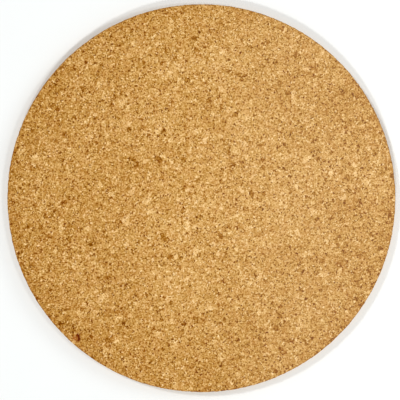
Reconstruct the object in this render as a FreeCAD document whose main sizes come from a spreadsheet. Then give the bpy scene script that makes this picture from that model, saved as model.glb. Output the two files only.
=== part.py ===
import FreeCAD, Part
import os
import Sketcher

# A round, frameless bulletin board: one disc of pressed cork granules, and five mounting pads on its
# back that hold it to a wall. Each pad is a sandwich of four layers.
#
# The board stands upright, as it hangs. +Z is up and the face for pinning looks along -Y. The origin
# is in the plane of the wall, on the board's centre line, so every layer lies at a negative Y.

# name of the cell: (size in mm or number, what it is)
SIZES = {
    "board_diameter": (305.0, "outside of the cork disc"),
    "board_thickness": (9.5, "cork, front face to back face"),
    "rim_break": (0.5, "radius sanded on both edges of the rim"),
    "pad_side": (25.0, "side of a mounting pad, a square"),
    "pad_corner": (1.5, "corner radius of the die that cuts the pads"),
    "foam_thickness": (1.5, "foam between the two films"),
    "film_thickness": (0.1, "adhesive film on each side of the foam"),
    "liner_thickness": (0.1, "waxed paper over the wall side"),
    "liner_tab": (6.0, "finger tab of the liner below the pad"),
    "pad_rim_gap": (28.0, "from the rim in to an outer pad's far corner, on the diagonal"),
}

# where each pad sits: name and direction from the centre, in degrees anticlockwise from +X
OUTER_PADS = {"upper_right": 45, "upper_left": 135, "lower_left": 225, "lower_right": 315}

# how far each layer's back, the side towards the wall, stands off the wall
LAYER_BACK = {
    "release_liner": "0",
    "wall_adhesive": "Sizes.liner_thickness",
    "foam_pad": "Sizes.liner_thickness + Sizes.film_thickness",
    "board_adhesive": "Sizes.liner_thickness + Sizes.film_thickness + Sizes.foam_thickness",
}
LAYER_DEPTH = {
    "release_liner": "Sizes.liner_thickness",
    "wall_adhesive": "Sizes.film_thickness",
    "foam_pad": "Sizes.foam_thickness",
    "board_adhesive": "Sizes.film_thickness",
}
BOARD_BACK = "Sizes.liner_thickness + 2 * Sizes.film_thickness + Sizes.foam_thickness"
PAD_RING = "(Sizes.board_diameter / 2 - Sizes.pad_rim_gap - Sizes.pad_side / sqrt(2))"


def make_sheet(doc):
    """The driving dimensions, one named cell each."""
    sheet = doc.addObject("Spreadsheet::Sheet", "Sizes")
    for row, (alias, (value, meaning)) in enumerate(SIZES.items(), start=1):
        sheet.set(f"A{row}", alias)
        sheet.set(f"B{row}", str(value))
        sheet.setAlias(f"B{row}", alias)
        sheet.set(f"C{row}", meaning)
    doc.recompute()


def new_piece(doc, name, stand_off, across="0", up="0"):
    """An empty body whose own XZ plane is the piece's back, stand_off in front of the wall."""
    body = doc.addObject("PartDesign::Body", name)
    body.Label = name
    body.setExpression("Placement.Base.x", across)
    body.setExpression("Placement.Base.y", f"-({stand_off})")
    body.setExpression("Placement.Base.z", up)
    return body


def back_sketch(body):
    """A sketch on the body's XZ plane. Its own axes are +X and +Z, and it faces -Y."""
    sketch = body.newObject("Sketcher::SketchObject", f"{body.Name}_outline")
    plane = next(f for f in body.Origin.OriginFeatures if f.Role == "XZ_Plane")
    sketch.AttachmentSupport = [(plane, "")]
    sketch.MapMode = "FlatFace"
    return sketch


def bind(sketch, constraint, name, expression):
    """Adds a dimension to a sketch and ties it to the sheet."""
    index = sketch.addConstraint(constraint)
    sketch.renameConstraint(index, name)
    sketch.setExpression(f"Constraints.{name}", expression)


def pad_forward(body, sketch, depth):
    """Pads the outline towards -Y, the side that the sketch faces."""
    pad = body.newObject("PartDesign::Pad", f"{body.Name}_pad")
    pad.Profile = sketch
    pad.setExpression("Length", depth)
    body.Document.recompute()
    return pad


def round_edges(body, feature, radius, wanted):
    """Rounds the edges of the feature for which wanted(edge) is true."""
    names = [f"Edge{i}" for i, edge in enumerate(feature.Shape.Edges, start=1) if wanted(edge)]
    fillet = body.newObject("PartDesign::Fillet", f"{body.Name}_rounding")
    fillet.Base = (feature, names)
    fillet.setExpression("Radius", radius)


def is_circle(edge):
    return isinstance(edge.Curve, Part.Circle)


def runs_along_y(edge):
    """True for a straight edge square to the wall, such as a pad's corner."""
    across = edge.Vertexes[-1].Point - edge.Vertexes[0].Point
    return not is_circle(edge) and abs(across.y) > max(abs(across.x), abs(across.z))


def make_disc(doc):
    """The cork disc, with both edges of its rim lightly sanded."""
    body = new_piece(doc, "cork_disc", BOARD_BACK)
    sketch = back_sketch(body)
    first_guess = SIZES["board_diameter"][0] / 2
    centre = FreeCAD.Vector(0, 0, 0)
    circle = sketch.addGeometry(Part.Circle(centre, FreeCAD.Vector(0, 0, 1), first_guess))
    origin, start, middle = -1, 1, 3
    sketch.addConstraint(Sketcher.Constraint("Coincident", circle, middle, origin, start))
    radius = Sketcher.Constraint("Radius", circle, first_guess)
    bind(sketch, radius, "rim_radius", "Sizes.board_diameter / 2")
    disc = pad_forward(body, sketch, "Sizes.board_thickness")
    round_edges(body, disc, "Sizes.rim_break", is_circle)
    return body


def draw_square(sketch, below):
    """A square of the pad's side round the origin, longer by below at its lower edge."""
    half = SIZES["pad_side"][0] / 2
    corners = [(-half, half), (half, half), (half, -half), (-half, -half)]
    points = [FreeCAD.Vector(x, z, 0) for x, z in corners]
    lines = [Part.LineSegment(a, b) for a, b in zip(points, points[1:] + points[:1])]
    top, right, bottom, left = sketch.addGeometry(lines)
    origin, upright_axis, start, end = -1, -2, 1, 2
    for line, following in ((top, right), (right, bottom), (bottom, left), (left, top)):
        sketch.addConstraint(Sketcher.Constraint("Coincident", line, end, following, start))
    sketch.addConstraint(Sketcher.Constraint("Symmetric", top, start, top, end, upright_axis))
    for line in (left, right):
        sketch.addConstraint(Sketcher.Constraint("Vertical", line))
    sketch.addConstraint(Sketcher.Constraint("Horizontal", bottom))
    width = Sketcher.Constraint("DistanceX", top, start, top, end, 2 * half)
    bind(sketch, width, "width", "Sizes.pad_side")
    above = Sketcher.Constraint("DistanceY", origin, start, top, start, half)
    bind(sketch, above, "above_centre", "Sizes.pad_side / 2")
    under = Sketcher.Constraint("DistanceY", bottom, start, origin, start, half)
    bind(sketch, under, "below_centre", f"Sizes.pad_side / 2 + {below}")


def make_layer(doc, layer, pad_name, across, up):
    """One layer of a mounting pad. Only the liner has a finger tab below the foam."""
    body = new_piece(doc, f"{layer}_{pad_name}", LAYER_BACK[layer], across, up)
    sketch = back_sketch(body)
    draw_square(sketch, "Sizes.liner_tab" if layer == "release_liner" else "0")
    sheet_of_it = pad_forward(body, sketch, LAYER_DEPTH[layer])
    round_edges(body, sheet_of_it, "Sizes.pad_corner", runs_along_y)
    return body


def make_pads(doc):
    """One pad at the centre of the back, and four on a ring, each square to the floor."""
    places = {"centre": ("0", "0")}
    for name, degrees in OUTER_PADS.items():
        places[name] = (f"{PAD_RING} * cos({degrees})", f"{PAD_RING} * sin({degrees})")
    return [
        make_layer(doc, layer, pad_name, across, up)
        for pad_name, (across, up) in places.items()
        for layer in LAYER_BACK
    ]


def check(doc, pieces):
    """Stops if anything in the document failed, or if a piece isn't one sound solid."""
    for item in doc.Objects:
        if "Invalid" in item.State or "Error" in item.State:
            raise RuntimeError(f"{item.Name} failed: {item.State}")
    for piece in pieces:
        shape = piece.Shape
        if shape.isNull() or not shape.isValid() or len(shape.Solids) != 1:
            raise RuntimeError(f"{piece.Label} is not one valid solid")


def main():
    doc = FreeCAD.newDocument("cork_board")
    make_sheet(doc)
    pieces = [make_disc(doc), *make_pads(doc)]
    doc.recompute()
    check(doc, pieces)
    os.makedirs("parts", exist_ok=True)
    for piece in pieces:
        piece.Shape.exportStep(f"parts/{piece.Label}.step")
        box = piece.Shape.BoundBox
        lows = f"{box.XMin:.2f} {box.YMin:.2f} {box.ZMin:.2f}"
        highs = f"{box.XMax:.2f} {box.YMax:.2f} {box.ZMax:.2f}"
        print(f"{piece.Label}: {piece.Shape.Volume:.1f} mm3, from {lows} to {highs}")


main()
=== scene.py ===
# %% [markdown]
# # A round cork bulletin board
#
# This lesson dresses a finished CAD model of a frameless cork board in Blender. The real board is one
# disc of pressed cork granules. Five square foam pads on its back hold it to the wall. Each pad is foam
# with an adhesive film on both sides, and a waxed paper liner covers the wall side until the board is
# put up.
#
# The CAD model is the fixed frame. It is loaded first, and the sizes and places below are read from it.

import math
import random

import bmesh
import bpy
from mathutils import Matrix, Vector


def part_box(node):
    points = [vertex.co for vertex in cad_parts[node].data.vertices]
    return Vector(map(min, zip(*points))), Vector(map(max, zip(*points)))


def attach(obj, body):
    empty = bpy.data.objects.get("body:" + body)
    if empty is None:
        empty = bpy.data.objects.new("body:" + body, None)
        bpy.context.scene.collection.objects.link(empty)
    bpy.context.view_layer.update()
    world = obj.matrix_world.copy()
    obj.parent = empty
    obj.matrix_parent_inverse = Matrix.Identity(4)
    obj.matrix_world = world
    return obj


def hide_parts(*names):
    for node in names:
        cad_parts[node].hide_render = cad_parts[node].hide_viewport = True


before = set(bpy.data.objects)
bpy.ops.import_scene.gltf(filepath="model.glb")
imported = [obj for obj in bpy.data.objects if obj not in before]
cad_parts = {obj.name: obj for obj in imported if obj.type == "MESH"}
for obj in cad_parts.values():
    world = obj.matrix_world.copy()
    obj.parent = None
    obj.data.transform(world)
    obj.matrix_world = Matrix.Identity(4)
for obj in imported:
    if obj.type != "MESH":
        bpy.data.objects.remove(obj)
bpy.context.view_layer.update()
MM = 0.001
disc_low, disc_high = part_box("cork_disc")
radius = (disc_high.x - disc_low.x) / 2
thickness = disc_high.y - disc_low.y
print(f"the board is {radius * 2 / MM:.0f} mm across and {thickness / MM:.1f} mm thick")

# %% [markdown]
# ## The camera
#
# The board is seen square on and nearly fills the picture. A long lens keeps its outline a true circle
# and hides the side of the rim behind the front edge. The board sits a little off the picture's
# middle. Moving the camera a little down and to the left does that, and the lens still looks straight
# along +Y, so nothing is turned or shifted.

# %% Put the camera square in front of the face
SHARE_OF_WIDTH = 0.972  # how much of the picture's width the board fills
LEFT_OF_CENTRE = 1.1 * MM
BELOW_CENTRE = 1.4 * MM

lens = bpy.data.cameras.new("camera")
lens.lens = 100.0
lens.sensor_width = 36.0
lens.clip_end = 20.0
distance = 2 * radius / SHARE_OF_WIDTH * lens.lens / lens.sensor_width
camera = bpy.data.objects.new("camera", lens)
camera.location = (-LEFT_OF_CENTRE, disc_low.y - distance, -BELOW_CENTRE)
camera.rotation_euler = (math.radians(90), 0, 0)
bpy.context.scene.collection.objects.link(camera)
bpy.context.scene.camera = camera
print(f"the camera stands {distance:.2f} m from the face")

# %% [markdown]
# ## Nodes written as Python
#
# A material is a network of small nodes, and arithmetic is easier to read as an expression. The class
# Value wraps one output of a network and turns Python's own operators into Math nodes. The class
# Recipe wraps the network itself. Its one method, add, makes any other node from its type, its
# settings, and the values or links of its sockets.
#
# Both classes work on a material's network and on a geometry network. The cork needs that, because one
# recipe for its chips will make the colour and the relief.

# %% A value that does arithmetic
class Value:
    """One output of a node network. Arithmetic on it adds Math nodes to the network."""

    def __init__(self, recipe, socket):
        self.recipe = recipe
        self.socket = socket

    def math(self, operation, *terms):
        return self.recipe.add("ShaderNodeMath", {"operation": operation}, dict(enumerate(terms)))

    def __add__(self, other):
        return self.math("ADD", self, other)

    def __sub__(self, other):
        return self.math("SUBTRACT", self, other)

    def __rsub__(self, other):
        return self.math("SUBTRACT", other, self)

    def __mul__(self, other):
        return self.math("MULTIPLY", self, other)

    __radd__ = __add__
    __rmul__ = __mul__

    def above(self, other):
        """1 where this is more than the other, and 0 elsewhere."""
        return self.math("GREATER_THAN", self, other)

    def below(self, other):
        """1 where this is less than the other, and 0 elsewhere."""
        return self.math("LESS_THAN", self, other)

    def smaller(self, other):
        """The lesser of the two."""
        return self.math("MINIMUM", self, other)


# %% A network to fill
class Recipe:
    """A node network that is being filled."""

    def __init__(self, tree):
        self.tree = tree

    def add(self, kind, settings=None, sockets=None, wanted=0):
        """Adds a node and returns one output. Settings come first, since they decide the sockets."""
        node = self.tree.nodes.new(kind)
        for name, setting in (settings or {}).items():
            if name == "stops":
                self.set_stops(node.color_ramp, setting)
            else:
                setattr(node, name, setting)
        for key, value in (sockets or {}).items():
            socket = self.find(node.inputs, key)
            if isinstance(value, Value):
                self.tree.links.new(value.socket, socket)
            else:
                socket.default_value = value
        return Value(self, self.find(node.outputs, wanted)) if node.outputs else node

    @staticmethod
    def find(sockets, key):
        """A socket by its number, or by its name among those in use."""
        if isinstance(key, int):
            return sockets[key]
        return next(socket for socket in sockets if socket.name == key and socket.enabled)

    @staticmethod
    def set_stops(ramp, stops):
        """Gives a colour ramp its stops, each a place from 0 to 1 and a colour."""
        while len(ramp.elements) < len(stops):
            ramp.elements.new(1.0)
        for element, (place, colour) in zip(ramp.elements, stops):
            element.position = place
            element.color = (*colour, 1.0)


# %% Textures and mixes that the finishes share
def noise(recipe, place, scale, detail=2.0, roughness=0.5, wanted="Fac"):
    """Smooth noise whose lumps are about 1 / scale across."""
    sockets = {"Vector": place, "Scale": scale, "Detail": detail, "Roughness": roughness}
    return recipe.add("ShaderNodeTexNoise", {}, sockets, wanted)


def cells(recipe, place, size, feature="F1", wanted="Distance"):
    """Voronoi cells about size across."""
    sockets = {"Vector": place, "Scale": 1 / size}
    return recipe.add("ShaderNodeTexVoronoi", {"feature": feature}, sockets, wanted)


def ramp(value, low, high):
    """0 up to low and 1 from high on, with a smooth step between them. High may be the lower one."""
    sockets = {"Value": value, "From Min": low, "From Max": high}
    settings = {"interpolation_type": "SMOOTHSTEP"}
    return value.recipe.add("ShaderNodeMapRange", settings, sockets, "Result")


def vectors(recipe, operation, first, second, wanted="Vector"):
    return recipe.add("ShaderNodeVectorMath", {"operation": operation}, {0: first, 1: second}, wanted)


def split(recipe, triple):
    """The three numbers of a vector or colour."""
    first = recipe.add("ShaderNodeSeparateXYZ", {}, {0: triple})
    return [Value(recipe, socket) for socket in first.socket.node.outputs]


def mix(share, first, second):
    """A number between two numbers."""
    sockets = {"Factor": share, "A": first, "B": second}
    return share.recipe.add("ShaderNodeMix", {}, sockets, "Result")


def opaque(colour):
    """Red, green and blue with the fourth number that a colour socket asks for. A link stays as it is."""
    return colour if isinstance(colour, Value) else (*colour, 1.0)


def tint(share, first, second):
    """A colour between two colours."""
    sockets = {"Factor": share, "A": opaque(first), "B": opaque(second)}
    return share.recipe.add("ShaderNodeMix", {"data_type": "RGBA"}, sockets, "Result")


def screen(red, green, blue):
    """A colour given as on a screen, from 0 to 255, as the linear light that nodes work in."""
    shares = [value / 255 for value in (red, green, blue)]
    return tuple(s / 12.92 if s <= 0.04045 else ((s + 0.055) / 1.055) ** 2.4 for s in shares)


# %% The start and end of every finish
class Finish(Recipe):
    """A material's network, with the surface's own place in millimetres to build on."""

    def __init__(self, name):
        self.material = bpy.data.materials.new(name)
        self.material.use_nodes = True
        super().__init__(self.material.node_tree)
        self.shader = self.tree.nodes["Principled BSDF"]
        own = self.add("ShaderNodeTexCoord", {}, {}, "Object")
        self.place = vectors(self, "MULTIPLY", own, (1 / MM, 1 / MM, 1 / MM))

    def wear(self, colour, roughness, height, **fixed):
        """Wires the shader up. Height is in millimetres. The fixed values are the same all over."""
        self.tree.links.new(colour.socket, self.shader.inputs["Base Color"])
        self.tree.links.new(roughness.socket, self.shader.inputs["Roughness"])
        bump = self.add("ShaderNodeBump", {}, {"Height": height, "Distance": MM}, "Normal")
        self.tree.links.new(bump.socket, self.shader.inputs["Normal"])
        for name, value in fixed.items():
            self.shader.inputs[name.replace("_", " ")].default_value = value
        print(f"{self.material.name}: {len(self.tree.nodes)} nodes")
        return self.material


# %% [markdown]
# ## The chips of pressed cork
#
# Board cork is bark that is ground into granules, mixed with a binder, pressed into a block and
# sliced. The slice cuts through every granule, so each shows as a chip with its own tone, from cream
# to brown. Where granules never met there is a small hole.
#
# Voronoi cells are a good stand-in for pressed granules, since both fill a space from scattered seeds.
# Some large cells stay whole, and smaller cells break up the rest, as in a mix of sieve sizes. The
# finest cells are the crumbs and broken corners that fill the gaps. Noise bends the place first, so
# that no edge is straight. The recipe is three-dimensional, so chips run on round the rim.

# %% One recipe for the chips
LARGE_CHIP = 3.3  # mm across
SMALL_CHIP = 1.9
CRUMB = 0.95
WHOLE_SHARE = 0.5  # of the large cells that stay one chip
HOLE_SHARE = 0.035  # of the crumbs that are missing
BEND = 1.3  # mm that the noise moves an edge, at most
BENDS = 0.45  # per mm, so an edge turns about every 2 mm


def chips(recipe, place):
    """Random numbers of the chip and the crumb at a place in mm, distance to the edge, and holes."""
    bent = noise(recipe, place, BENDS, detail=2.0, wanted="Color")
    bent = vectors(recipe, "SUBTRACT", bent, (0.5, 0.5, 0.5))  # noise is 0.5 on average
    bent = vectors(recipe, "MULTIPLY", bent, (2 * BEND, 2 * BEND, 2 * BEND))
    place = vectors(recipe, "ADD", place, bent)
    large = split(recipe, cells(recipe, place, LARGE_CHIP, wanted="Color"))
    small = split(recipe, cells(recipe, place, SMALL_CHIP, wanted="Color"))
    crumb = split(recipe, cells(recipe, place, CRUMB, wanted="Color"))
    large_edge = cells(recipe, place, LARGE_CHIP, "DISTANCE_TO_EDGE") * LARGE_CHIP
    small_edge = cells(recipe, place, SMALL_CHIP, "DISTANCE_TO_EDGE") * SMALL_CHIP
    whole = large[0].above(1 - WHOLE_SHARE)
    return {
        "tone": mix(whole, small[1], large[1]),
        "kind": mix(whole, small[2], large[2]),
        "turn": mix(whole, small[0], large[2]),
        "crumb": crumb[0],
        "speck": crumb[2],
        "edge": mix(whole, large_edge.smaller(small_edge), large_edge),
        "hole": crumb[1].above(1 - HOLE_SHARE),
    }


# %% The height of the chips
CHIP_STEP = 0.12  # mm that the highest chip stands above the lowest
CRUMB_STEP = 0.06
SEAM_DEPTH = 0.05
SEAM_HALF = 0.3  # mm from a seam's middle to its edge
HOLE_DEPTH = 0.15
SUNK = 0.2  # mm, just over the highest chip and crumb, so that the surface stays below zero


def seams(chip):
    """1 where two chips meet, falling to 0 inside them."""
    return ramp(chip["edge"], SEAM_HALF, 0.0)


def chip_height(chip):
    """The surface's height in millimetres, always a little below zero."""
    raised = chip["tone"] * CHIP_STEP + chip["crumb"] * CRUMB_STEP
    return raised - seams(chip) * SEAM_DEPTH - chip["hole"] * HOLE_DEPTH - SUNK


# %% [markdown]
# ## The disc
#
# The disc is cut from the slice, so its face is flat but open-pored, and its rim shows sawn chips. A
# plain cylinder would give one huge flat face, with no points that could be moved to make relief.
#
# Here a fine square grid is wrapped into a circle. Each square ring of the grid becomes a round ring,
# and all cells keep the same area, so the relief is equally fine everywhere. The rim is drawn back
# from the grid's border, a coarser grid closes the back, and both edges are rounded as sanding leaves
# them.

# %% Wrap a grid into a circle
FACE_CELLS = 258
BACK_CELLS = FACE_CELLS // 3
BACK_FAN = 1.5 * MM  # width of the ring of long faces between the rim and the coarser back
RIM_STEPS = 7
SANDED = 0.5 * MM  # radius on both edges of the rim
WOBBLE = 0.4  # share of a cell's half that a point may stray
rng = random.Random(7)


def wrap(across, up):
    """Maps a point of the square from -1 to 1 into the unit circle, ring by ring, with equal areas."""
    if across == 0 and up == 0:
        return 0.0, 0.0
    if abs(across) > abs(up):
        reach, angle = across, math.pi / 4 * up / across
    else:
        reach, angle = up, math.pi / 2 - math.pi / 4 * across / up
    return reach * math.cos(angle), reach * math.sin(angle)


def round_sheet(mesh, count, y, size):
    """A flat round sheet at y, its cells a little uneven, since regular rows would show in low light."""
    sheet = bmesh.ops.create_grid(mesh, x_segments=count, y_segments=count, size=1.0)["verts"]
    wobble = WOBBLE / count
    for vert in sheet:
        if not vert.is_boundary:
            vert.co += Vector((rng.uniform(-wobble, wobble), rng.uniform(-wobble, wobble), 0))
    for vert in sheet:
        x, z = wrap(vert.co.x, vert.co.y)
        vert.co = (x * size, y, z * size)
    return list({edge for vert in sheet for edge in vert.link_edges if edge.is_boundary})


def build_disc():
    """The closed disc with its rim in steps, before any relief."""
    mesh = bmesh.new()
    front_edge = round_sheet(mesh, FACE_CELLS, disc_low.y, radius)
    edge = front_edge
    for _ in range(RIM_STEPS):
        drawn = bmesh.ops.extrude_edge_only(mesh, edges=edge)["geom"]
        ring = [part for part in drawn if isinstance(part, bmesh.types.BMVert)]
        bmesh.ops.translate(mesh, verts=ring, vec=(0, thickness / RIM_STEPS, 0))
        edge = [part for part in drawn if isinstance(part, bmesh.types.BMEdge) and part.is_boundary]
    back_edge = round_sheet(mesh, BACK_CELLS, disc_high.y, radius - BACK_FAN)
    bmesh.ops.triangle_fill(mesh, edges=edge + back_edge, use_beauty=True, normal=(0, 1, 0))
    bmesh.ops.recalc_face_normals(mesh, faces=mesh.faces)
    bmesh.ops.bevel(mesh, geom=front_edge + edge, offset=SANDED, affect="EDGES", segments=2,
                    profile=0.5, material=-1)
    return mesh


board = build_disc()
open_edges = sum(edge.is_boundary for edge in board.edges)
print(f"the disc has {len(board.faces)} faces and {open_edges} open edges")

# %% [markdown]
# ## Pores
#
# Cork has lenticels, fine dark tubes that ran through the bark, and a block has gaps between granules.
# Cut open, both are small round pits. Bevelling a vertex turns it into a small round patch with a
# point in its middle. Pushing that point in makes the pit, and the disc stays closed.
#
# Near the lower left of the rim there is a curved crack round a hard piece of bark. An attribute marks
# the bottoms of the pits, so that the finish can darken them with dark bark and painted shade. The
# crack has a stronger mark, because its bark is redder and its painted shade darker.

# %% Push the pores in
PORES = 420
PORE_SIZES = (0.28 * MM, 0.36 * MM, 0.46 * MM)  # from the middle of a pore to its mouth
PORE_DEPTHS = (0.3 * MM, 0.6 * MM)  # shallowest and deepest
PORE_MARK = 0.75
FACE_MARGIN = 3 * MM  # without pores, at the edge of the face and of the back
RIM_MARGIN = 1.4 * MM  # and on the rim, next to its two edges


def may_hold_pore(vert):
    """True on the open face, back and rim, away from the sanded edges and the fan round the back."""
    out = math.hypot(vert.co.x, vert.co.z)
    depth = vert.co.y - disc_low.y
    on_rim = out > radius - 0.01 * MM and RIM_MARGIN < depth < thickness - RIM_MARGIN
    return len(vert.link_faces) == 4 and (out < radius - FACE_MARGIN or on_rim)


def sink_pores(mesh):
    """Round pits at random points, marked at their bottom. No two of them share a face."""
    mark = mesh.verts.layers.float.new("pore")
    picked = []
    taken = set()
    for vert in rng.sample([vert for vert in mesh.verts if may_hold_pore(vert)], PORES):
        if not taken.intersection(vert.link_faces):
            picked.append(vert)
            taken.update(vert.link_faces)
    bottoms = []
    for index, size in enumerate(PORE_SIZES):
        made = bmesh.ops.bevel(mesh, geom=picked[index::3], offset=size, affect="VERTICES", segments=2,
                               profile=0.5, material=-1)
        patch = set(made["faces"])
        bottoms += [vert for vert in made["verts"] if patch.issuperset(vert.link_faces)]
    mesh.normal_update()
    for vert in bottoms:
        vert.co -= vert.normal * rng.uniform(*PORE_DEPTHS)
        vert[mark] = PORE_MARK
    return mark, len(bottoms)


pore_mark, pore_count = sink_pores(board)
print(f"{pore_count} pores")

# %% Open the crack round the knot
KNOT = Vector((-98.6 * MM, 0, -109.6 * MM))
KNOT_RADIUS = 2.6 * MM
CRACK_HALF = 0.95 * MM  # from the middle of the crack to its side
CRACK_DEPTH = 0.6 * MM
CRACK_MARK = 1.0


def crack_knot(mesh, mark):
    """The curved crack, round the right half of the knot."""
    count = 0
    for vert in mesh.verts:
        spoke = vert.co - KNOT
        spoke.y = 0
        on_face = vert.co.y < disc_low.y + 0.1 * MM
        in_crack = abs(spoke.length - KNOT_RADIUS) < CRACK_HALF
        if on_face and in_crack and spoke.x > 0.2 * abs(spoke.z):
            vert.co.y += CRACK_DEPTH
            vert[mark] = CRACK_MARK
            count += 1
    return count


print(f"the crack has {crack_knot(board, pore_mark)} points")

# %% [markdown]
# ## A flat map of the disc
#
# The finished colours can be painted into a flat picture for other programs, and a map says which
# spot of the picture belongs to which spot of the disc. The face gets the largest circle, the back a
# smaller one in the opposite corner, and the rim is cut into strips that fill a third corner.

# %% Lay the disc out flat
FACE_MIDDLE, FACE_SHARE = 0.36, 0.358  # middle and radius of the face's circle in the map
BACK_MIDDLE, BACK_SHARE = 0.775, 0.222
STRIPS = 6  # that the rim is cut into
STRIP_LEFT, STRIP_FOOT = 0.735, 0.02  # lower left corner of the first strip
STRIP_PITCH = 0.043  # from one strip to the next
STRIP_WIDTH = 0.034
STRIP_LENGTH = 0.5
FOLD = 1.3 * MM  # width of the edge within which a part may belong to the rim


def side_of(point):
    """Whether a point of the disc's skin is on its face, its back or its rim."""
    near_rim = math.hypot(point.x, point.z) > radius - FOLD
    if near_rim and disc_low.y + SANDED < point.y < disc_high.y - SANDED:
        return "rim"
    return "face" if point.y < (disc_low.y + disc_high.y) / 2 else "back"


def lay_out(mesh):
    """Gives the disc its flat map."""
    flat = mesh.loops.layers.uv.new("OFBake")
    for face in mesh.faces:
        middle = face.calc_center_median()
        side = side_of(middle)
        turn = math.atan2(middle.z, middle.x)
        strip = int((turn / math.tau + 0.5) * STRIPS) % STRIPS
        for loop in face.loops:
            x, y, z = loop.vert.co
            if side == "face":
                right, up = x / radius * FACE_SHARE, z / radius * FACE_SHARE
                loop[flat].uv = (FACE_MIDDLE + right, FACE_MIDDLE + up)
            elif side == "back":
                right, up = x / radius * BACK_SHARE, z / radius * BACK_SHARE
                loop[flat].uv = (BACK_MIDDLE - right, BACK_MIDDLE + up)
            else:
                step = math.remainder(math.atan2(z, x) - turn, math.tau)
                along = ((turn + step) / math.tau + 0.5) * STRIPS - strip
                across = (y - disc_low.y) / thickness * STRIP_WIDTH
                left = STRIP_LEFT + strip * STRIP_PITCH
                loop[flat].uv = (left + across, STRIP_FOOT + along * STRIP_LENGTH)


lay_out(board)

# %% [markdown]
# ## Relief
#
# A saw leaves some chips a little higher than others. A geometry network moves every point of the mesh
# against its normal by the depth that the chips' recipe gives there. It only ever moves inwards, so
# the disc stays within its CAD size. The rim's edges crumble more than the face, so there the depth is
# larger. The result is then fixed into the mesh.

# %% A piece that stands for a CAD node
def new_piece(name, mesh, body, node, material):
    """Turns a bmesh into a smooth piece that stands for a CAD node."""
    data = bpy.data.meshes.new(name)
    mesh.to_mesh(data)
    mesh.free()
    data.polygons.foreach_set("use_smooth", [True] * len(data.polygons))
    data.set_sharp_from_angle(angle=math.radians(50))
    data.materials.append(material)
    piece = bpy.data.objects.new(name, data)
    bpy.context.scene.collection.objects.link(piece)
    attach(piece, body)
    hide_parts(node)
    return piece


# %% Carve the relief
CRUMBLE = 2.2  # how much deeper the relief is at the rim
CRUMBLE_FROM, CRUMBLE_TO = 1.2, 0.2  # mm inside the rim where it starts and where it is full


def from_axis(recipe, place):
    """How far a place is from the middle line of the disc."""
    flat = vectors(recipe, "MULTIPLY", place, (1.0, 0.0, 1.0))
    return vectors(recipe, "LENGTH", flat, (0.0, 0.0, 0.0), "Value")


def relief_network():
    """The geometry network that moves points in by the depth of the chips."""
    tree = bpy.data.node_groups.new("relief", "GeometryNodeTree")
    for way in ("INPUT", "OUTPUT"):
        tree.interface.new_socket("Geometry", in_out=way, socket_type="NodeSocketGeometry")
    recipe = Recipe(tree)
    whole = recipe.add("NodeGroupInput")
    place = recipe.add("GeometryNodeInputPosition")
    place = vectors(recipe, "MULTIPLY", place, (1 / MM, 1 / MM, 1 / MM))
    rim = ramp(from_axis(recipe, place), radius / MM - CRUMBLE_FROM, radius / MM - CRUMBLE_TO)
    depth = chip_height(chips(recipe, place)).smaller(0.0) * (rim * (CRUMBLE - 1) + 1)
    sockets = {0: recipe.add("GeometryNodeInputNormal"), "Scale": depth * MM}
    shift = recipe.add("ShaderNodeVectorMath", {"operation": "SCALE"}, sockets, "Vector")
    moved = recipe.add("GeometryNodeSetPosition", {}, {"Geometry": whole, "Offset": shift})
    recipe.add("NodeGroupOutput", {}, {0: moved})
    return tree


def carve(piece):
    """Runs the relief network on a piece and keeps the result as its mesh."""
    carver = piece.modifiers.new("relief", "NODES")
    carver.node_group = relief_network()
    graph = bpy.context.evaluated_depsgraph_get()
    result = piece.evaluated_get(graph)
    carved = bpy.data.meshes.new_from_object(result, preserve_all_data_layers=True, depsgraph=graph)
    piece.modifiers.remove(carver)
    piece.data = carved


# %% [markdown]
# ## The cork's colour
#
# From arm's length the chips melt into a golden tan with cream flecks and brown specks. Light and dark
# cork differ mostly in brightness, so the ramp moves all three colours by nearly the same amount.
# Streaks inside a chip are the bark's yearly rings, and they run a different way in each chip. The
# flecks are the peaks of a fine noise, so most of the surface stays calm between them. A few whole
# chips and crumbs are much lighter or darker than the rest.
#
# A slow noise makes the faint yellower and browner patches that every board has. The rim, the left and
# the foot are darkened by painted shade, and the right is paled by a painted sheen. The holes and the
# rounded front edge get painted shade too. The crack round the knot is reddish bark, and so is the patch
# inside it.

# %% How light each spot is
MIDDLE_TONE = 0.565  # on the ramp of cork tones, which runs from 0 to 1
GRAIN = 1.1  # lumps of the fine noise per mm
FLECKS = 0.88  # peaks of the fleck noise per mm
STREAKS = (1.6, 1.0, 0.4)  # squeezes the noise across a streak and stretches it along
FLECK_LIFT = 0.25
SEAM_SHADE = 0.08
PALE_CHIPS, DARK_CHIPS = 0.1, 0.04  # share of the chips that are much lighter or darker
PALE_CRUMBS, DARK_CRUMBS = 0.035, 0.045


def chip_tone(finish, chip, fine):
    """The tone of the chips, crumbs, streaks and flecks."""
    sockets = {"Vector": finish.place, "Angle": chip["turn"] * math.tau}
    turned = finish.add("ShaderNodeVectorRotate", {"rotation_type": "Y_AXIS"}, sockets, "Vector")
    streak = noise(finish, vectors(finish, "MULTIPLY", turned, STREAKS), 1.0, detail=1.0)
    slow = noise(finish, finish.place, 0.02, detail=0.0)
    weights = ((chip["tone"], 0.11), (chip["crumb"], 0.34), (streak, 0.2), (fine, 0.45), (slow, 0.14))
    tone = MIDDLE_TONE + sum((part - 0.5) * weight for part, weight in weights)
    tone = tone - seams(chip) * SEAM_SHADE
    fleck = noise(finish, finish.place, FLECKS, detail=0.0)
    tone = tone + ramp(fleck, 0.6, 0.74) * FLECK_LIFT - ramp(fleck, 0.4, 0.26) * FLECK_LIFT
    tone = tone + chip["kind"].above(1 - PALE_CHIPS) * 0.2 - chip["kind"].below(DARK_CHIPS) * 0.31
    return tone + chip["speck"].above(1 - PALE_CRUMBS) * 0.42 - chip["speck"].below(DARK_CRUMBS) * 0.46


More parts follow.
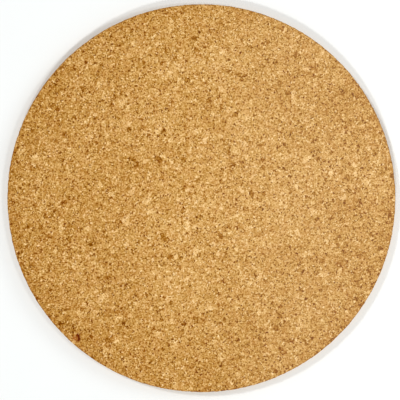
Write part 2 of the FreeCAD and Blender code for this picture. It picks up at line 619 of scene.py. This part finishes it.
def painted_falloff(finish, out):
    """Painted shade: how much the tone drops near the rim, on the left and towards the foot of the board.
    """
    right, _, up = (part * (MM / radius) for part in split(finish, finish.place))
    # painted shade: the tone falls towards the rim and the left, and a little towards the foot, as the
    # light does
    rim = ramp(out, 60, radius / MM) * 0.04 + ramp(out, radius / MM - 16, radius / MM) * 0.05
    return rim + ramp(right, 0.1, -1.0) * 0.07 + ramp(up, 0.0, -1.0) * 0.01


# %% Colours of the cork
CORK_TONES = [
    (0.00, screen(108, 52, 2)),
    (0.15, screen(144, 89, 12)),
    (0.38, screen(180, 129, 54)),
    (0.55, screen(205, 158, 89)),
    (0.75, screen(227, 184, 118)),
    (1.00, screen(248, 213, 156)),
]
# painted shade for the holes and the rounded front edge
SHADE_BROWN = screen(140, 84, 8)
RED_BARK = screen(176, 96, 40)
# a pale colour for the painted sheen on the right side
PAINTED_SHEEN = screen(215, 185, 150)
# the pores' dark bark, with painted shade at their bottoms
PORE_BARK_AND_SHADE = screen(132, 60, 0)
# the crack's red bark, with painted shade in its bottom
CRACK_BARK_AND_SHADE = screen(96, 30, 8)


def patches(finish, colour):
    """Adds faint reddish patches, a painted sheen that pales the right side, and the red bark within the
    crack.
    """
    warm = ramp(noise(finish, finish.place, 0.16, detail=1.0), 0.35, 0.7)
    colour = tint(warm * 0.12, colour, RED_BARK)
    # painted sheen: the right side is paled towards a whitish cork colour, as a glossy veil of light
    # would
    right = split(finish, finish.place)[0] * (MM / radius)
    colour = tint(ramp(right, -0.2, 0.7) * 0.08, colour, PAINTED_SHEEN)
    knot = KNOT / MM + Vector((0, disc_low.y / MM, 0))
    from_knot = vectors(finish, "DISTANCE", finish.place, knot, "Value")
    return tint(ramp(from_knot, 3.4, 1.4) * 0.5, colour, RED_BARK)


def openings(finish, colour, chip, out):
    """Darkens holes and the front edge with painted shade, and pores and the crack with bark and painted
    shade.
    """
    pore = finish.add("ShaderNodeAttribute", {"attribute_name": "pore"}, {}, "Fac")
    # painted shade in the holes where crumbs are missing
    colour = tint(chip["hole"] * 0.75, colour, SHADE_BROWN)
    # the pores' dark bark and painted shade at their bottoms
    colour = tint(pore * 0.85, colour, PORE_BARK_AND_SHADE)
    # the crack's red bark and painted shade in its bottom
    colour = tint(ramp(pore, PORE_MARK, CRACK_MARK) * 0.85, colour, CRACK_BARK_AND_SHADE)
    deep = split(finish, finish.place)[1] - disc_low.y / MM
    # painted shade along the rounded front edge
    edge_shade = ramp(out, radius / MM - 1.6, radius / MM - 0.3) * ramp(deep, 1.8, 0.3)
    return tint(edge_shade * 0.35, colour, SHADE_BROWN)


# %% The cork finish
def cork_finish():
    finish = Finish("pressed_cork")
    chip = chips(finish, finish.place)
    fine = noise(finish, finish.place, GRAIN, detail=1.0)
    out = from_axis(finish, finish.place)
    # the painted shade near the rim, on the left and at the foot comes off the tone here
    tone = chip_tone(finish, chip, fine) - painted_falloff(finish, out)
    colour = finish.add("ShaderNodeValToRGB", {"stops": CORK_TONES}, {0: tone})
    colour = openings(finish, patches(finish, colour), chip, out)
    height = chip_height(chip) + fine * 0.08
    return finish.wear(colour, 0.95 - fine * 0.2, height, Specular_IOR_Level=0.02)


disc = new_piece("cork_board", board, "board", "cork_disc", cork_finish())
carve(disc)
triangles = sum(len(polygon.vertices) - 2 for polygon in disc.data.polygons)
print(f"the cork board has {triangles} triangles")

# %% [markdown]
# ## The mounting pads
#
# A pad is a square that a steel die punches out of a roll. The die has slightly round corners. The roll
# is closed-cell foam with acrylic adhesive on both sides, and the liner is punched longer than the
# foam, which leaves a tab to pull.
#
# All four layers are the same thing at different sizes: a thin slab with round corners. So one
# function makes the slab in its node's CAD box. It starts as a grid, each ring of which is bent from a
# square to a rounded square, and solidify gives it its thickness.

# %% One slab for every layer
CORNER = 1.5 * MM


def bend_corner(x, z, half):
    """Moves a point of a square sheet so that its ring, and every ring inside it, has round corners."""
    reach, near = max(abs(x), abs(z)), min(abs(x), abs(z))
    bow = CORNER * reach / half
    straight = reach - bow
    if near <= straight:
        return x, z
    angle = (near - straight) / bow * math.pi / 4
    far, side = straight + bow * math.cos(angle), straight + bow * math.sin(angle)
    if abs(x) < abs(z):
        far, side = side, far
    return math.copysign(far, x), math.copysign(side, z)


def slab(node, count, layers=1):
    """A closed slab with round corners that fills its node's box, in count by count squares."""
    low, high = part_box(node)
    size = high - low
    half = size.x / 2
    tab = size.z - size.x  # drawn out of the sheet's lower half
    mesh = bmesh.new()
    bmesh.ops.create_grid(mesh, x_segments=count, y_segments=count, size=half)
    for vert in mesh.verts:
        x, z = bend_corner(vert.co.x, vert.co.y, half)
        z -= tab * min(1, max(0, -z) / (half - CORNER))
        vert.co = (low.x + half + x, high.y, high.z - half + z)
    bmesh.ops.recalc_face_normals(mesh, faces=mesh.faces)
    bmesh.ops.solidify(mesh, geom=mesh.faces[:], thickness=size.y)
    settled = low.y - min(vert.co.y for vert in mesh.verts)
    bmesh.ops.translate(mesh, verts=mesh.verts, vec=(0, settled, 0))
    if layers > 1:
        upright = [e for e in mesh.edges if abs(e.verts[0].co.y - e.verts[1].co.y) > size.y / 2]
        bmesh.ops.subdivide_edges(mesh, edges=upright, cuts=layers - 1, use_grid_fill=True)
    bmesh.ops.recalc_face_normals(mesh, faces=mesh.faces)
    return mesh


# %% [markdown]
# ## Foam
#
# Punching squeezes the foam, which then springs back, so the cut edge is a little hollow. Its cells are
# cut open there. The finish is white, and each Voronoi cell is a bubble whose hollow is sunk by the bump
# and darkened by painted shade.

# %% The foam and its finish
HOLLOW = 0.16 * MM
RAGGED = 0.05  # mm that the cut cells make the edge uneven
FOAM_CELL = 0.34  # mm across


def foam_piece(name, material):
    node = f"foam_pad_{name}"
    mesh = slab(node, 36, layers=5)
    low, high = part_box(node)
    middle = (low + high) / 2
    for vert in mesh.verts:
        share = abs(vert.co.y - middle.y) / (high.y - low.y) * 2
        if share < 0.98:  # leaves the two flat sides as they are
            out = Vector((vert.co.x - middle.x, 0, vert.co.z - middle.z)).normalized()
            vert.co -= out * (HOLLOW * (1 - share ** 2) + rng.uniform(0, RAGGED) * MM)
    piece = new_piece(f"foam_{name}", mesh, "board", node, material)


def foam_finish():
    finish = Finish("closed_cell_foam")
    hollow = ramp(cells(finish, finish.place, FOAM_CELL, "SMOOTH_F1"), 0.5, 0.05)
    slow = noise(finish, finish.place, 0.25)
    stops = [(0.2, (0.86, 0.86, 0.84)), (0.9, (0.66, 0.66, 0.63))]
    # painted shade darkens the bubble hollows, and a slow noise varies the white
    shade = hollow * 0.55 + slow * 0.35
    colour = finish.add("ShaderNodeValToRGB", {"stops": stops}, {0: shade})
    return finish.wear(colour, slow * 0.2 + 0.55, hollow * -0.05)


# %% [markdown]
# ## Adhesive
#
# The film is clear acrylic, faintly yellow, and tacky enough to shine. It is spread wet, so it carries
# flow ripples and a few trapped bubbles.

# %% The films and their finish
RIPPLES = (0.25, 1.0, 1.2)  # stretched along the roll
BUBBLE_SPACING = 1.6  # mm


def film_piece(layer, name, material):
    node = f"{layer}_{name}"
    new_piece(f"film_{node}", slab(node, 20), "board", node, material)


def adhesive_finish():
    finish = Finish("acrylic_adhesive")
    along = vectors(finish, "MULTIPLY", finish.place, RIPPLES)
    flow = noise(finish, along, 1.0, detail=2.0)
    bubble = ramp(cells(finish, finish.place, BUBBLE_SPACING), 0.16, 0.08)
    stops = [(0.3, (0.72, 0.66, 0.44)), (0.7, (0.8, 0.76, 0.6))]
    colour = finish.add("ShaderNodeValToRGB", {"stops": stops}, {0: flow})
    colour = tint(bubble * 0.5, colour, (0.86, 0.85, 0.78))
    return finish.wear(colour, flow * 0.25 + 0.1, flow * 0.04 + bubble * 0.03, Coat_Weight=0.4)


# %% [markdown]
# ## Liner
#
# The liner is thin waxed paper. It lies flat on the adhesive, and its free tab lifts a little towards
# the board where fingers and packing have bent it. Release paper is often embossed with a fine lattice,
# so that it lets go evenly, and the paper's fibres show through the wax.

# %% The liners and their finish
TAB_LIFT = 0.55 * MM
LATTICE = 0.7  # squares of the embossing per mm
FIBRES = (2.0, 2.0, 0.5)  # stretched upwards


def liner_piece(name, material):
    node = f"release_liner_{name}"
    mesh = slab(node, 28)
    pad_low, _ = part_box(f"foam_pad_{name}")
    low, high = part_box(node)
    lift = TAB_LIFT * rng.uniform(0.5, 1.0)
    twist = rng.uniform(-0.3, 0.3)
    for vert in mesh.verts:
        past = max(0, (pad_low.z - vert.co.z) / (pad_low.z - low.z))
        across = (vert.co.x - low.x) / (high.x - low.x) - 0.5
        vert.co.y -= lift * past ** 2 * (0.8 + twist * across)
    new_piece(f"liner_paper_{name}", mesh, f"liner_{name}", node, material)


def liner_finish():
    finish = Finish("waxed_paper")
    sockets = {"Vector": finish.place, "Angle": math.radians(45)}
    turned = finish.add("ShaderNodeVectorRotate", {"rotation_type": "Y_AXIS"}, sockets, "Vector")
    lattice = finish.add("ShaderNodeTexChecker", {}, {"Vector": turned, "Scale": LATTICE}, "Fac")
    fibre = noise(finish, vectors(finish, "MULTIPLY", finish.place, FIBRES), 1.0, detail=3.0)
    cloud = noise(finish, finish.place, 0.3)
    stops = [(0.3, (0.62, 0.7, 0.74)), (0.7, (0.76, 0.82, 0.84))]
    colour = finish.add("ShaderNodeValToRGB", {"stops": stops}, {0: fibre * 0.6 + cloud * 0.4})
    height = fibre * 0.02 + lattice * 0.015
    return finish.wear(colour, 0.35 + fibre * 0.2 - lattice * 0.08, height)


# %% Put the pads together
foam_nodes = [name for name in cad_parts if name.startswith("foam_pad_")]
pad_names = sorted(name[len("foam_pad_"):] for name in foam_nodes)
foam = foam_finish()
adhesive = adhesive_finish()
paper = liner_finish()
for pad_name in pad_names:
    film_piece("board_adhesive", pad_name, adhesive)
    foam_piece(pad_name, foam)
    film_piece("wall_adhesive", pad_name, adhesive)
    liner_piece(pad_name, paper)
print(f"{len(pad_names)} pads of four layers: {', '.join(pad_names)}")

# %% [markdown]
# ## The room
#
# The board hangs on a plain white wall over a pale floor. Neither is part of the object. The wall is
# seen only from the front, which leaves the board's back open to the other views, and it casts no
# shadow. The floor fades away with distance, so that it has no edge.

# %% A sheet of the stage
def stage_sheet(name, size, place, turn, shade):
    """A flat sheet round a place, turned about X, with a plain finish."""
    mesh = bmesh.new()
    bmesh.ops.create_grid(mesh, x_segments=1, y_segments=1, size=0.5)
    bmesh.ops.scale(mesh, verts=mesh.verts, vec=(*size, 1))
    bmesh.ops.rotate(mesh, verts=mesh.verts, matrix=Matrix.Rotation(math.radians(turn), 3, "X"))
    bmesh.ops.translate(mesh, verts=mesh.verts, vec=place)
    data = bpy.data.meshes.new(name)
    mesh.to_mesh(data)
    mesh.free()
    sheet = bpy.data.objects.new(name, data)
    bpy.context.scene.collection.objects.link(sheet)
    finish = Finish(name)
    mottle = noise(finish, finish.place, 0.02)
    colour = tint(mottle, shade, [0.98 * value for value in shade])
    grain = noise(finish, finish.place, 0.8)
    data.materials.append(finish.wear(colour, mottle * 0.1 + 0.85, grain * 0.02))
    return sheet, finish


# %% A wall that is clear from behind
WALL_SHADE = (0.89, 0.912, 0.906)
WALL_GAP = 0.4 * MM  # behind the liners

wall, plaster = stage_sheet("wall", size=(1.4, 1.4), place=(0, WALL_GAP, -0.1), turn=90, shade=WALL_SHADE)
behind = plaster.add("ShaderNodeNewGeometry", {}, {}, "Backfacing")
clear = plaster.add("ShaderNodeBsdfTransparent")
solid = Value(plaster, plaster.shader.outputs[0])
seen = plaster.add("ShaderNodeMixShader", {}, {0: behind, 1: solid, 2: clear})
plaster.tree.links.new(seen.socket, plaster.tree.nodes["Material Output"].inputs["Surface"])
wall.visible_shadow = False
wall.visible_diffuse = False

# %% A floor that fades away
FLOOR_SHADE = (0.86, 0.86, 0.85)
GONE, WHOLE = 1600, 800  # mm from the middle where the floor has gone and where it is still whole

_, ground = stage_sheet("floor", size=(6, 6), place=(0, 0, -0.8), turn=0, shade=FLOOR_SHADE)
near = ramp(vectors(ground, "LENGTH", ground.place, (0.0, 0.0, 0.0), "Value"), GONE, WHOLE)
ground.tree.links.new(near.socket, ground.shader.inputs["Alpha"])

# %% [markdown]
# ## The light
#
# A soft studio light is a lamp with a surface: the larger it is, the softer its shadow. Three small
# soft lamps each throw a faint shadow of the disc on the wall, and the shadows overlap at the rim. One
# stands below, one at the upper left and one at the right. A large lamp further to the right and the
# pale room fill the rest, and they leave the left of the wall a little darker. Two more lamps light
# the back.

# %% Lamps
def lamp(name, bearing, tilt, share, distance, size, side=-1):
    """A round lamp aimed at the board. Bearing is in degrees, anticlockwise from +X as seen from the
    front, and tilt is the angle off the face's own direction. Share is how much light it gives."""
    light = bpy.data.lights.new(name, "AREA")
    light.shape = "DISK"
    light.size = size
    off, turn = math.radians(tilt), math.radians(bearing)
    away = Vector((math.sin(off) * math.cos(turn), side * math.cos(off), math.sin(off) * math.sin(turn)))
    light.energy = share * math.pi ** 2 * distance ** 2 / math.cos(off)
    holder = bpy.data.objects.new(name, light)
    holder.location = away * distance
    holder.rotation_euler = away.to_track_quat("Z", "Y").to_euler()
    bpy.context.scene.collection.objects.link(holder)


lamp("below", bearing=258, tilt=34.6, share=0.26, distance=2.2, size=0.24)
lamp("upper_left", bearing=142, tilt=32.3, share=0.24, distance=3.0, size=0.35)
lamp("right", bearing=345, tilt=22, share=0.14, distance=0.9, size=0.12)
lamp("right_fill", bearing=20, tilt=50, share=0.12, distance=0.9, size=0.45)
lamp("back_high", bearing=120, tilt=35, share=0.4, distance=1.3, size=0.6, side=1)
lamp("back_low", bearing=330, tilt=50, share=0.25, distance=1.3, size=0.6, side=1)

# %% The pale room
ROOM_LIGHT = (0.41, 0.41, 0.41)  # what falls on the board
ROOM_BEHIND = (0.84, 0.84, 0.84)  # what is seen past the board

world = bpy.data.worlds.new("studio")
world.use_nodes = True
bpy.context.scene.world = world
room = Recipe(world.node_tree)
in_view = room.add("ShaderNodeLightPath", {}, {}, "Is Camera Ray")
pale = tint(in_view, ROOM_LIGHT, ROOM_BEHIND)
world.node_tree.links.new(pale.socket, world.node_tree.nodes["Background"].inputs["Color"])
bpy.context.scene.view_settings.view_transform = "Standard"
